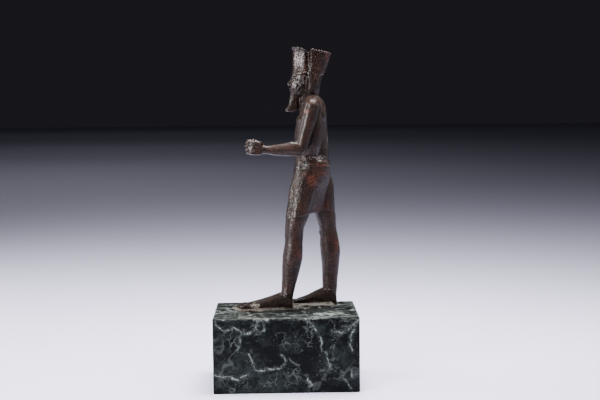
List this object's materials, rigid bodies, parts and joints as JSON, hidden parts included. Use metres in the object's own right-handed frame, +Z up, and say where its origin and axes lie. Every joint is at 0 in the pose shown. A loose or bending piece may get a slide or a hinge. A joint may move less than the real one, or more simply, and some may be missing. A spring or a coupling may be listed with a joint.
{
  "type": "statuette",
  "caption": "Solid-cast bronze statuette of a striding Egyptian god in a flared cap crown, one forearm held out, set on a rectangular block of dark green veined marble.",
  "frame": {"origin": "middle of the marble block's underside", "axes": "+Z up; the figure faces -Y, its left side, with the bent arm, towards +X"},
  "size_m": [0.0521, 0.08, 0.189],
  "materials": {
    "bronze": "satin",
    "setting_compound": "matte",
    "green_marble": "polished"
  },
  "bodies": {
    "root": {"bronze_figure": "bronze", "setting_bed": "setting_compound", "marble_block": "green_marble"}
  },
  "joints": []
}
